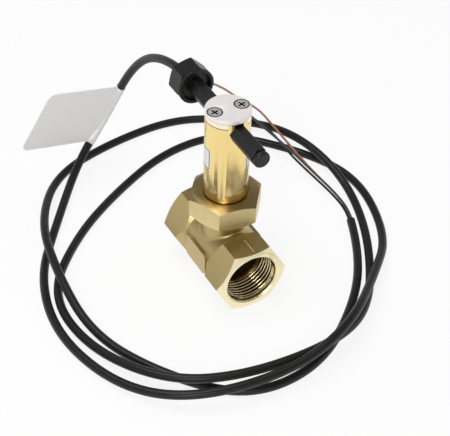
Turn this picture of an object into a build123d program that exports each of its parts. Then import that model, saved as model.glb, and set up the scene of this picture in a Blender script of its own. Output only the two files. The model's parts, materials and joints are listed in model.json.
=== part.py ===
from build123d import *
from math import cos, pi, radians, tan
import os

# Paddle flow switch: a brass tee with female pipe threads, a turned head held on the
# branch by a union nut, a paddle on a pin inside, and a contact rod clamped on the head.
# X is the pipe axis (outlet at +X), Z is the axis of the head, up. The origin is
# where the two cross. Millimetres.

os.makedirs("parts", exist_ok=True)

# Hexagons: half the angle that one side takes up round the middle
hexagon_half_angle = 30

# Clearances
seat_gap = 0.1  # between faces that turn or slide on each other
thread_gap = 0.08  # radial, between a nut and the thread it runs on
pin_gap = 0.05  # radial, between a pin and the part that swings on it
wall_gap = 0.35  # radial, where something passes through a wall

# Tee
run_length = 70
collar_across = 40  # hexagon of both end collars, across flats
collar_length = 16
barrel_diameter = 37
pipe_thread_minor = 30.29  # G 1
pipe_thread_major = 33.25
pipe_thread_depth = 18
run_bore = 26.5
branch_height = 34.8  # top of the branch above the pipe axis
branch_bore = 26
pad_length = 24
pad_height = 15
pad_step = 0.8  # how far the side pads stand out of the barrel
pad_corner = 3
mouth_clearance = 0.55  # the entry chamfer opens this much past the thread
turned_angle = 30  # of the turned chamfers on the hexagons
branch_chamfer = 1
thread_entry_angle = 45
collar_shoulder_angle = 45  # where the collars run down to the barrel

# Union nut
nut_across = 39
nut_bottom = 28.4
nut_web = 2.8
nut_turn = 22.5
nut_hole_clearance = 0.9

# Head
head_diameter = 26
head_flange_diameter = 32
head_flange_height = 3.2
gasket_height = 1.5
spigot_length = 8.8  # below the gasket's face
spigot_clearance = 0.2
head_height = 95.2  # groove line under the saddle, above the pipe axis
chamber_diameter = 20.8
chamber_mouth_diameter = 22
chamber_mouth_depth = 5.2
ceiling_depth = 13.7  # of the chamber's ceiling below the groove line

# Contact rod and its clamp
rod_drop = 3.7  # of the rod's middle below the groove line
groove_overrun = 1
rod_across = 10.5
rod_front = 35.5
saddle_height = 3.4
plate_height = 2.4
plate_diameter = 26.4
plate_bevel = 0.4
screw_spacing = 17
screw_diameter = 3.9
screw_head_diameter = 8
screw_length = 15.6
screw_recess_width = 1.1
screw_recess_span = 4.4
screw_recess_depth = 1.6
screw_recess_turn = 15
screw_recess_taper = 15
countersink_angle = 45
cap_diameter = 10.8
cap_neck_diameter = 8
cap_neck_length = 1
cap_length = 5.3
cap_stem_diameter = 4.8
cap_stem_length = 7
cap_round = 1.8

# Reed contact inside the rod
rod_bore = 6.2
rod_bore_front = 20
potting_front = 14
reed_diameter = 2.4
reed_length = 16
lead_diameter = 0.6
lead_offset = 1.9
lead_back = -40
lead_front = 11
lead_bend = 0.76
reed_round = 0.6

# Gland
rod_thread_diameter = 16
rod_back = -50
rod_thread_length = 8
gland_front = -37
gland_back = -55
gland_across = 20.4
gland_turn = 16
gland_collar_diameter = 22.5
gland_collar_length = 2
gland_groove = 0.5
gland_recess_diameter = 18.8
gland_recess_depth = 4
gland_end_wall = 3
seal_diameter = 15

# Paddle and its bearing
pin_z = 50
pin_diameter = 2.5
ear_gap = 13.2
ear_thickness = 1.2
ear_width = 8
ring_height = 2
ring_rim = 1.4
ring_clearance = 0.2
snap_ring_height = 1
snap_ring_inner = 18.6
snap_ring_bite = 0.5
snap_ring_slit = 4
stop_low = 34
stop_high = 38
stop_thickness = 1.1
hub_diameter = 8
lever_width = 7
lever_depth = 5
lever_low = 20
lever_tip_depth = 4.2
cup_diameter = 6.4
cup_height = 6
cup_clearance = 2.5  # between the cup and the chamber's ceiling
cup_taper = 20
paddle_magnet_diameter = 5
paddle_magnet_height = 5
return_magnet_diameter = 5
return_magnet_height = 2.5
return_magnet_x = -7
vane_thickness = 1
vane_tab_width = 6.4
vane_width = 16
vane_shoulder = 13
vane_bottom = -10
vane_tab_top = 30
rivet_diameter = 2
rivet_head_diameter = 3.4
rivet_head_height = 0.5
rivet_low = 23
rivet_pitch = 4
rivet_taper = 30

# Cable, its cores and the film flag on it
cable_diameter = 5.3
core_diameter = 1.5
flag_along = 46
flag_out = 54
flag_skew = 4.5  # how far the film's outer edge hangs below its inner edge
flag_bow = 3.5
flag_corner = 5
flag_thickness = 0.4
arc_share = 0.45  # of a cord's run that one corner's arc may take

# Sizes that follow from the ones above
collar_inner = run_length / 2 - collar_length
collar_corner = collar_across / 2 / cos(radians(hexagon_half_angle))
branch_diameter = pipe_thread_major - thread_gap
flange_bottom = branch_height + gasket_height
flange_top = flange_bottom + head_flange_height
spigot_bottom = branch_height - spigot_length
chamber_step = spigot_bottom + chamber_mouth_depth
nut_top = flange_top + seat_gap + nut_web
rod_z = head_height - rod_drop
rod_bottom = rod_z - rod_across / 2
rod_top = rod_z + rod_across / 2
rod_corner = rod_across / 2 / cos(radians(hexagon_half_angle))
saddle_top = head_height + saddle_height
plate_top = saddle_top + plate_height
ring_bottom = chamber_step - ring_height
chamber_ceiling = head_height - ceiling_depth
lever_high = chamber_ceiling - cup_clearance - cup_height
ear_outer = ear_gap / 2 + ear_thickness
screw_hole_radius = screw_diameter / 2 + seat_gap
screw_head_height = (screw_head_diameter - screw_diameter) / 2


def turned_hexagon(across, low, high, plane):
    """A hexagon bar between two stations on the plane's normal, with turned chamfers at both ends."""
    corner = across / 2 / cos(radians(hexagon_half_angle))
    drop = (corner - across / 2) * tan(radians(turned_angle))
    with BuildPart() as bar:
        with BuildSketch(Plane.XY.offset(low)):
            RegularPolygon(across / 2, 6, major_radius=False)
        extrude(amount=high - low)
        with BuildSketch(Plane.XZ):
            with BuildLine():
                Polyline(
                    (0, low),
                    (across / 2, low),
                    (corner, low + drop),
                    (corner, high - drop),
                    (across / 2, high),
                    (0, high),
                    close=True,
                )
            make_face()
        revolve(axis=Axis.Z, mode=Mode.INTERSECT)
    return plane * bar.part


def corner_radii(route):
    """The largest arc at each corner that its two runs allow."""
    points = [Vector(point) for point in route]
    radii = []
    for before, corner, after in zip(points, points[1:], points[2:]):
        arriving = corner - before
        leaving = after - corner
        turn = arriving.get_angle(leaving)
        radii.append(arc_share * min(arriving.length, leaving.length) / tan(radians(turn / 2)))
    return radii


def round_cord(name, route, diameter):
    """A round cord along straight runs that are joined by tangent arcs."""
    radii = corner_radii(route)
    with BuildPart() as cord:
        with BuildLine() as path:
            FilletPolyline(*route, radius=radii)
        with BuildSketch(Plane(origin=path.line @ 0, z_dir=path.line % 0)):
            Circle(diameter / 2)
        sweep(path=path.line)
    section = pi * diameter**2 / 4
    length = sum(edge.length for edge in path.edges())
    print(name, "radii", [round(radius) for radius in radii])
    print(name, "length", round(length), "volume", round(cord.part.volume), "of", round(section * length))
    return cord.part


def tee_profile():
    """Half outline of the turned tee body: chamfered collars that run down to the barrel."""
    end = run_length / 2
    chamfer = (collar_corner - collar_across / 2) * tan(radians(turned_angle))
    slope = (collar_corner - barrel_diameter / 2) / tan(radians(collar_shoulder_angle))
    half = [
        (end, 0),
        (end, collar_across / 2),
        (end - chamfer, collar_corner),
        (collar_inner, collar_corner),
        (collar_inner - slope, barrel_diameter / 2),
    ]
    return half + [(-x, z) for x, z in reversed(half)]


# Tee body
with BuildPart() as tee_body:
    with BuildSketch(Plane.YZ):
        RegularPolygon(collar_across / 2, 6, major_radius=False)
    extrude(amount=run_length / 2, both=True)
    with BuildSketch(Plane.XZ):
        with BuildLine():
            Polyline(*tee_profile(), close=True)
        make_face()
    revolve(axis=Axis.X, mode=Mode.INTERSECT)
    with BuildSketch(Plane.XY):
        Circle(branch_diameter / 2)
    extrude(amount=branch_height)
    top_rim = tee_body.edges().filter_by(GeomType.CIRCLE).sort_by(Axis.Z)[-1]
    chamfer(top_rim, length=branch_chamfer)
    with BuildSketch(Plane.XZ):
        RectangleRounded(pad_length, pad_height, pad_corner)
    extrude(amount=barrel_diameter / 2 + pad_step, both=True)
    with BuildSketch(Plane.YZ):
        Circle(run_bore / 2)
    extrude(amount=run_length / 2, both=True, mode=Mode.SUBTRACT)
    for end_plane in (Plane.YZ.offset(run_length / 2), Plane.ZY.offset(run_length / 2)):
        with BuildSketch(end_plane):
            Circle(pipe_thread_minor / 2)
        extrude(amount=-pipe_thread_depth, mode=Mode.SUBTRACT)
        mouth = pipe_thread_major / 2 + mouth_clearance / 2
        entry = mouth - pipe_thread_minor / 2
        with BuildSketch(end_plane):
            Circle(mouth)
        extrude(amount=-entry, taper=thread_entry_angle, mode=Mode.SUBTRACT)
    with BuildSketch(Plane.XY):
        Circle(branch_bore / 2)
    extrude(amount=branch_height, mode=Mode.SUBTRACT)
tee_body.part.label = "tee_body"

# Union nut: its web holds the head's flange down on the branch
nut_plane = Plane(origin=(0, 0, 0), x_dir=Vector(1, 0, 0).rotate(Axis.Z, nut_turn), z_dir=(0, 0, 1))
with BuildPart() as union_nut:
    add(turned_hexagon(nut_across, nut_bottom, nut_top, nut_plane))
    with BuildSketch(Plane.XY.offset(nut_bottom)):
        Circle(branch_diameter / 2 + thread_gap)
    extrude(amount=nut_top - nut_web - nut_bottom, mode=Mode.SUBTRACT)
    with BuildSketch(Plane.XY.offset(nut_bottom)):
        Circle(head_diameter / 2 + nut_hole_clearance)
    extrude(amount=nut_top - nut_bottom, mode=Mode.SUBTRACT)
union_nut.part.label = "union_nut"

# Head gasket, between the branch and the head's flange
with BuildPart() as head_gasket:
    with BuildSketch(Plane.XY.offset(branch_height)):
        Circle(head_flange_diameter / 2)
        Circle(branch_bore / 2 + spigot_clearance, mode=Mode.SUBTRACT)
    extrude(amount=gasket_height)
head_gasket.part.label = "head_gasket"

# Head housing: a blind turned cylinder whose ceiling parts the wet chamber from the contact
with BuildPart() as head_housing:
    with BuildSketch(Plane.XY.offset(spigot_bottom)):
        Circle(branch_bore / 2 - spigot_clearance)
    extrude(amount=spigot_length + gasket_height)
    with BuildSketch(Plane.XY.offset(flange_bottom)):
        Circle(head_flange_diameter / 2)
    extrude(amount=head_flange_height)
    with BuildSketch(Plane.XY.offset(flange_top)):
        Circle(head_diameter / 2)
    extrude(amount=head_height - flange_top)
    with BuildSketch(Plane.XY.offset(spigot_bottom)):
        Circle(chamber_mouth_diameter / 2)
    extrude(amount=chamber_mouth_depth, mode=Mode.SUBTRACT)
    with BuildSketch(Plane.XY.offset(chamber_step)):
        Circle(chamber_diameter / 2)
    extrude(amount=chamber_ceiling - chamber_step, mode=Mode.SUBTRACT)
    with BuildSketch(Plane.XY.offset(ring_bottom - snap_ring_height - seat_gap)):
        Circle(chamber_mouth_diameter / 2 + snap_ring_bite + seat_gap)
    extrude(amount=snap_ring_height + seat_gap, mode=Mode.SUBTRACT)
    with BuildSketch(Plane.XY.offset(chamber_ceiling)):
        with Locations((return_magnet_x, 0)):
            Circle(return_magnet_diameter / 2 + seat_gap)
    extrude(amount=return_magnet_height, mode=Mode.SUBTRACT)
    with BuildSketch(Plane.XY.offset(rod_bottom - seat_gap)):
        Rectangle(head_diameter + 2 * groove_overrun, 2 * (rod_corner + seat_gap))
    extrude(amount=head_height, mode=Mode.SUBTRACT)
    with BuildSketch(Plane.XY.offset(plate_top - screw_length - seat_gap)):
        with GridLocations(0, screw_spacing, 1, 2):
            Circle(screw_hole_radius)
    extrude(amount=head_height, mode=Mode.SUBTRACT)
head_housing.part.label = "head_housing"

# Clamp saddle: a disc with a groove across its underside for the rod
with BuildPart() as clamp_saddle:
    with BuildSketch(Plane.XY.offset(head_height)):
        Circle(head_diameter / 2)
    extrude(amount=saddle_height)
    with BuildSketch(Plane.XY.offset(head_height)):
        Rectangle(head_diameter + 2 * groove_overrun, 2 * (rod_corner + seat_gap))
    extrude(amount=rod_top + seat_gap - head_height, mode=Mode.SUBTRACT)
    with BuildSketch(Plane.XY.offset(head_height)):
        with GridLocations(0, screw_spacing, 1, 2):
            Circle(screw_hole_radius)
    extrude(amount=saddle_height, mode=Mode.SUBTRACT)
clamp_saddle.part.label = "clamp_saddle"

# Clamp plate, bevelled, with countersunk holes
with BuildPart() as clamp_plate:
    with BuildSketch(Plane.XY.offset(saddle_top)):
        Circle(plate_diameter / 2)
    extrude(amount=plate_height)
    chamfer(clamp_plate.faces().sort_by(Axis.Z)[-1].edges(), length=plate_bevel)
    with BuildSketch(Plane.XY.offset(saddle_top)):
        with GridLocations(0, screw_spacing, 1, 2):
            Circle(screw_hole_radius)
    extrude(amount=plate_height, mode=Mode.SUBTRACT)
    with BuildSketch(Plane.XY.offset(plate_top)):
        with GridLocations(0, screw_spacing, 1, 2):
            Circle(screw_head_diameter / 2 + seat_gap)
    extrude(amount=-screw_head_height, taper=countersink_angle, mode=Mode.SUBTRACT)
clamp_plate.part.label = "clamp_plate"

# Clamp screws: two countersunk screws with a cross recess
with BuildPart() as clamp_screws:
    with BuildSketch(Plane.XY.offset(plate_top)):
        with GridLocations(0, screw_spacing, 1, 2):
            Circle(screw_head_diameter / 2)
    extrude(amount=-screw_head_height, taper=countersink_angle)
    with BuildSketch(Plane.XY.offset(plate_top - screw_length)):
        with GridLocations(0, screw_spacing, 1, 2):
            Circle(screw_diameter / 2)
    extrude(amount=screw_length - screw_head_height)
    with BuildSketch(Plane.XY.offset(plate_top)):
        with GridLocations(0, screw_spacing, 1, 2):
            Rectangle(screw_recess_span, screw_recess_width, rotation=screw_recess_turn)
            Rectangle(screw_recess_width, screw_recess_span, rotation=screw_recess_turn)
    extrude(amount=-screw_recess_depth, taper=screw_recess_taper, mode=Mode.SUBTRACT)
clamp_screws.part.label = "clamp_screws"

# Contact carrier: hexagon rod, with a thread at its back for the gland nut
rod_plane = Plane(origin=(0, 0, rod_z), x_dir=(0, 1, 0), z_dir=(1, 0, 0))
with BuildPart() as contact_carrier:
    with BuildSketch(rod_plane.offset(rod_back)):
        RegularPolygon(rod_across / 2, 6, major_radius=False)
    extrude(amount=rod_front - rod_back)
    with BuildSketch(rod_plane.offset(rod_back)):
        Circle(rod_thread_diameter / 2)
    extrude(amount=rod_thread_length)
    with BuildSketch(rod_plane.offset(rod_back)):
        Circle(rod_bore / 2)
    extrude(amount=rod_bore_front - rod_back, mode=Mode.SUBTRACT)
    with BuildSketch(rod_plane.offset(rod_front)):
        Circle(cap_stem_diameter / 2)
    extrude(amount=-cap_stem_length, mode=Mode.SUBTRACT)
contact_carrier.part.label = "contact_carrier"

# End cap: a stem pressed in the rod, a neck that shows as a notch, and a rounded head
cap_face = rod_front + cap_neck_length
with BuildPart() as carrier_end_cap:
    with BuildSketch(rod_plane.offset(rod_front - cap_stem_length)):
        Circle(cap_stem_diameter / 2)
    extrude(amount=cap_stem_length)
    with BuildSketch(rod_plane.offset(rod_front)):
        Circle(cap_neck_diameter / 2)
    extrude(amount=cap_neck_length)
    with BuildSketch(rod_plane.offset(cap_face)):
        Circle(cap_diameter / 2)
    extrude(amount=cap_length)
    fillet(carrier_end_cap.faces().sort_by(Axis.X)[-1].edges(), radius=cap_round)
carrier_end_cap.part.label = "carrier_end_cap"

# Reed contact and its two leads
with BuildPart() as reed_contact:
    with BuildSketch(rod_plane.offset(-reed_length / 2)):
        Circle(reed_diameter / 2)
    extrude(amount=reed_length)
    fillet(reed_contact.edges().filter_by(GeomType.CIRCLE), radius=reed_round)
reed_contact.part.label = "reed_contact"

with BuildPart() as reed_leads:
    with BuildSketch(rod_plane.offset(lead_back)):
        Circle(lead_diameter / 2)
    extrude(amount=-reed_length / 2 - lead_back)
    with BuildLine() as lead_path:
        FilletPolyline(
            (reed_length / 2, 0, rod_z),
            (lead_front, 0, rod_z),
            (lead_front, lead_offset, rod_z),
            (lead_back, lead_offset, rod_z),
            radius=lead_bend,
        )
    with BuildSketch(rod_plane.offset(reed_length / 2)):
        Circle(lead_diameter / 2)
    sweep(path=lead_path.line)
reed_leads.part.label = "reed_leads"

# Potting: fills the rod's bore round the reed and its leads
potting_back = rod_back + gland_collar_length
with BuildPart() as potting:
    with BuildSketch(rod_plane.offset(potting_back)):
        Circle(rod_bore / 2)
    extrude(amount=potting_front - potting_back)
    add(reed_contact.part, mode=Mode.SUBTRACT)
    add(reed_leads.part, mode=Mode.SUBTRACT)
potting.part.label = "potting"

# Gland seal: a rubber bush round the cable, pressed on the rod's back face
with BuildPart() as gland_seal:
    with BuildSketch(rod_plane.offset(gland_back + gland_end_wall + seat_gap)):
        Circle(seal_diameter / 2)
        Circle(cable_diameter / 2, mode=Mode.SUBTRACT)
    extrude(amount=rod_back - gland_back - gland_end_wall - seat_gap)
gland_seal.part.label = "gland_seal"

# Gland nut: hexagon with a round collar and an open recess towards the head
gland_plane = Plane(
    origin=(0, 0, rod_z),
    x_dir=Vector(0, 1, 0).rotate(Axis.X, gland_turn),
    z_dir=(1, 0, 0),
)
gland_hex_front = gland_front - gland_collar_length - gland_groove
with BuildPart() as gland_nut:
    add(turned_hexagon(gland_across, gland_back, gland_hex_front, gland_plane))
    with BuildSketch(rod_plane.offset(gland_hex_front)):
        Circle(gland_across / 2 - gland_groove)
    extrude(amount=gland_groove)
    with BuildSketch(rod_plane.offset(gland_front)):
        Circle(gland_collar_diameter / 2)
    extrude(amount=-gland_collar_length)
    fillet(gland_nut.faces().sort_by(Axis.X)[-1].edges(), radius=gland_groove)
    with BuildSketch(rod_plane.offset(gland_front)):
        Circle(gland_recess_diameter / 2)
    extrude(amount=-gland_recess_depth, mode=Mode.SUBTRACT)
    with BuildSketch(rod_plane.offset(gland_front)):
        Circle(rod_thread_diameter / 2 + thread_gap)
    extrude(amount=gland_back + gland_end_wall - gland_front, mode=Mode.SUBTRACT)
    with BuildSketch(rod_plane.offset(gland_back)):
        Circle(cable_diameter / 2 + wall_gap)
    extrude(amount=gland_end_wall, mode=Mode.SUBTRACT)
gland_nut.part.label = "gland_nut"

# Bearing bracket: a ring in the chamber's mouth, two ears up to the pin, and the rest stop
ring_radius = chamber_mouth_diameter / 2 - ring_clearance
with BuildPart() as bearing_bracket:
    with BuildSketch(Plane.XY.offset(ring_bottom)):
        Circle(ring_radius)
        with BuildSketch(mode=Mode.SUBTRACT):
            Circle(ring_radius - ring_rim)
            Rectangle(2 * ring_radius, ear_gap, mode=Mode.INTERSECT)
    extrude(amount=ring_height)
    for side in (-1, 1):
        with BuildSketch(Plane.XZ.offset(side * ear_outer)):
            with Locations((0, pin_z)):
                Circle(ear_width / 2)
            with Locations((0, (ring_bottom + pin_z) / 2)):
                Rectangle(ear_width, pin_z - ring_bottom)
        extrude(amount=-side * ear_thickness)
    with BuildSketch(Plane.XZ):
        with Locations((-lever_depth / 2 - seat_gap, (stop_low + stop_high) / 2)):
            Rectangle(stop_thickness, stop_high - stop_low, align=(Align.MAX, Align.CENTER))
    extrude(amount=ear_gap / 2, both=True)
    with BuildSketch(Plane.XZ):
        with Locations((0, pin_z)):
            Circle(pin_diameter / 2)
    extrude(amount=ear_outer, both=True, mode=Mode.SUBTRACT)
bearing_bracket.part.label = "bearing_bracket"

# Snap ring that holds the bracket up in the head
with BuildPart() as bracket_retaining_ring:
    with BuildSketch(Plane.XY.offset(ring_bottom - snap_ring_height)):
        Circle(chamber_mouth_diameter / 2 + snap_ring_bite)
        Circle(snap_ring_inner / 2, mode=Mode.SUBTRACT)
        with Locations((0, -chamber_mouth_diameter / 2)):
            Rectangle(snap_ring_slit, ear_width, mode=Mode.SUBTRACT)
    extrude(amount=snap_ring_height)
bracket_retaining_ring.part.label = "bracket_retaining_ring"

# Pivot pin
with BuildPart() as pivot_pin:
    with BuildSketch(Plane.XZ):
        with Locations((0, pin_z)):
            Circle(pin_diameter / 2)
    extrude(amount=ear_outer, both=True)
pivot_pin.part.label = "pivot_pin"

# Return magnet in the ceiling
with BuildPart() as return_magnet:
    with BuildSketch(Plane.XY.offset(chamber_ceiling)):
        with Locations((return_magnet_x, 0)):
            Circle(return_magnet_diameter / 2)
    extrude(amount=return_magnet_height)
return_magnet.part.label = "return_magnet"

# Paddle lever: hub on the pin, arm down to the vane's slot, arm up to the magnet's cup
cup_top = lever_high + cup_height
with BuildPart() as paddle_lever:
    with BuildSketch(Plane.XZ):
        with BuildLine():
            Polyline(
                (-lever_depth / 2, lever_low),
                (lever_depth / 2, lever_low),
                (lever_depth / 2, pin_z),
                (lever_tip_depth / 2, lever_high),
                (-lever_tip_depth / 2, lever_high),
                (-lever_depth / 2, pin_z),
                close=True,
            )
        make_face()
    extrude(amount=lever_width / 2, both=True)
    with BuildSketch(Plane.XZ):
        with Locations((0, pin_z)):
            Circle(hub_diameter / 2)
    extrude(amount=ear_gap / 2 - ring_clearance, both=True)
    with BuildSketch(Plane.XY.offset(lever_high)):
        Circle(cup_diameter / 2)
    extrude(amount=cup_height)
    with BuildSketch(Plane.XY.offset(lever_high)):
        Circle(cup_diameter / 2)
    extrude(amount=-lever_tip_depth, taper=cup_taper)
    with BuildSketch(Plane.XY.offset(cup_top)):
        Circle(paddle_magnet_diameter / 2)
    extrude(amount=-paddle_magnet_height, mode=Mode.SUBTRACT)
    with BuildSketch(Plane.XZ):
        with Locations((0, pin_z)):
            Circle(pin_diameter / 2 + pin_gap)
    extrude(amount=ear_gap / 2, both=True, mode=Mode.SUBTRACT)
    with BuildSketch(Plane.XY.offset(lever_low)):
        Rectangle(vane_thickness, lever_width)
    extrude(amount=vane_tab_top - lever_low, mode=Mode.SUBTRACT)
    with BuildSketch(Plane.YZ):
        with Locations((0, rivet_low), (0, rivet_low + rivet_pitch)):
            Circle(rivet_diameter / 2)
    extrude(amount=lever_depth / 2, both=True, mode=Mode.SUBTRACT)
paddle_lever.part.label = "paddle_lever"

# Paddle vane: thin sheet across the flow, with a round bottom
vane_round_z = vane_bottom + vane_width / 2
with BuildPart() as paddle_vane:
    with BuildSketch(Plane.YZ):
        with Locations((0, vane_round_z)):
            Circle(vane_width / 2)
        with Locations((0, (vane_round_z + vane_shoulder) / 2)):
            Rectangle(vane_width, vane_shoulder - vane_round_z)
        with Locations((0, (vane_shoulder + vane_tab_top) / 2)):
            Rectangle(vane_tab_width, vane_tab_top - vane_shoulder)
        with Locations((0, rivet_low), (0, rivet_low + rivet_pitch)):
            Circle(rivet_diameter / 2, mode=Mode.SUBTRACT)
    extrude(amount=vane_thickness / 2, both=True)
paddle_vane.part.label = "paddle_vane"

# Two rivets through the lever and the vane
with BuildPart() as vane_rivets:
    with BuildSketch(Plane.YZ):
        with Locations((0, rivet_low), (0, rivet_low + rivet_pitch)):
            Circle(rivet_diameter / 2)
    extrude(amount=lever_depth / 2, both=True)
    for rivet_face in (Plane.YZ.offset(lever_depth / 2), Plane.ZY.offset(lever_depth / 2)):
        with BuildSketch(rivet_face):
            with Locations(rivet_face.to_local_coords(Vector(lever_depth / 2, 0, rivet_low))):
                Circle(rivet_head_diameter / 2)
            with Locations(rivet_face.to_local_coords(Vector(lever_depth / 2, 0, rivet_low + rivet_pitch))):
                Circle(rivet_head_diameter / 2)
        extrude(amount=rivet_head_height, taper=rivet_taper)
vane_rivets.part.label = "vane_rivets"

# Magnet in the lever's cup
with BuildPart() as paddle_magnet:
    with BuildSketch(Plane.XY.offset(cup_top)):
        Circle(paddle_magnet_diameter / 2)
    extrude(amount=-paddle_magnet_height)
paddle_magnet.part.label = "paddle_magnet"

# Cable: out of the gland, down, and in almost three loose loops round the switch
cable_route = [
    (-48, 0, rod_z),
    (-77, 0, rod_z),
    (-112, -3, 65),
    (-135, -15, 10),
    (-126, -39, -12),
    (-80, -75, -17.3),
    (-40, -103, -17.3),
    (10, -113, -17.3),
    (63, -98, -16),
    (95, -67, -8.5),
    (102, -10, -7),
    (92, 32, 1),
    (56, 72, -9),
    (23, 104, -17.3),
    (-32, 119, -17.3),
    (-73, 102, -17.3),
    (-116, 63, -17.3),
    (-115, 18, -17.3),
    (-90, -31, -17.3),
    (-63, -69, -17.3),
    (-24, -103, -17.3),
    (26, -101, -17.3),
    (75, -76, -9.5),
    (92, -34, -9),
    (93, 22, -8.5),
    (71, 60, -17.3),
    (25, 90, -17.3),
    (-20, 107, -17.3),
    (-53, 105, -8.5),
    (-89, 97, -8.5),
    (-122, 82, -17.3),
    (-145, 43, -17.3),
    (-140, -10, -17.3),
    (-125, -55, -17),
    (-80, -85, -9),
    (-34, -95, -8),
    (16, -95, -17.3),
    (61, -74, -17.3),
    (100, -39, -17.3),
    (98, 10, -17.3),
    (63, 55, -17.3),
    (27, 81, -17.3),
    (0, 92, -17.3),
]
cable = round_cord("cable", cable_route, cable_diameter)
cable.label = "cable"

# Cores: three wires that leave the end of the jacket and run back over the loops
wire_routes = {
    "wire_black": [
        (-0.35, 91.15, -17.8),
        (-9.6, 94.9, -17.8),
        (-28, 95.5, -17.5),
        (-50, 92.5, -16),
        (-68, 88, -11.5),
        (-82, 86, -7),
        (-99, 85, -6.5),
        (-118, 84, -11),
        (-136, 82, -18),
        (-150, 78, -18.5),
    ],
    "wire_brown": [
        (0.35, 92.85, -17.8),
        (-8.9, 96.6, -17.8),
        (-27, 97.5, -17),
        (-47, 95, -15.5),
        (-66, 92, -11),
        (-82, 89.3, -6),
        (-98, 89.5, -5.5),
        (-116, 92, -8.5),
        (-134, 93, -14),
        (-151, 92, -18.6),
        (-166, 89, -19),
        (-178, 82, -19),
    ],
    "wire_grey": [
        (0, 92, -16.35),
        (-9.3, 95.8, -16.35),
        (-28, 95.3, -14.2),
        (-48, 92.3, -12.3),
        (-66, 88.5, -8.5),
        (-80, 84, -4.5),
        (-97, 81.5, -4.3),
        (-114, 82, -6.5),
        (-130, 84, -12),
        (-147, 86, -18),
        (-160, 85, -19),
    ],
}
cores = []
for core_name, core_route in wire_routes.items():
    core = round_cord(core_name, core_route, core_diameter)
    core.label = core_name
    cores.append(core)

# Film flag: a stiff clear film beside the cable where it comes down from the gland.
# Its inner edge bows with the cable.
flag_plane = Plane(
    origin=(-122.5, -8.5, 39.8),
    x_dir=(0.227, -0.89, 0.395),
    z_dir=(-0.963, -0.145, 0.228),
)
flag_inner = cable_diameter / 2 + wall_gap
flag_outer = flag_inner + flag_out
with BuildPart() as cable_flag:
    with BuildSketch(flag_plane) as film:
        with BuildLine():
            Polyline(
                (flag_inner, 0),
                (flag_outer, -flag_skew),
                (flag_outer, -flag_skew - flag_along),
                (flag_inner, -flag_along),
            )
            ThreePointArc(
                (flag_inner, -flag_along),
                (flag_inner - flag_bow, -flag_along / 2),
                (flag_inner, 0),
            )
        make_face()
        fillet(film.vertices().sort_by(Axis.X)[-2:], radius=flag_corner)
    extrude(amount=flag_thickness / 2, both=True)
cable_flag.part.label = "cable_flag"

built = [
    tee_body,
    union_nut,
    head_gasket,
    head_housing,
    clamp_saddle,
    clamp_plate,
    clamp_screws,
    contact_carrier,
    carrier_end_cap,
    reed_contact,
    reed_leads,
    potting,
    gland_seal,
    gland_nut,
    bearing_bracket,
    bracket_retaining_ring,
    pivot_pin,
    return_magnet,
    paddle_lever,
    paddle_vane,
    vane_rivets,
    paddle_magnet,
    cable_flag,
]
for piece in [block.part for block in built] + [cable] + cores:
    export_step(piece, f"parts/{piece.label}.step")
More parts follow.
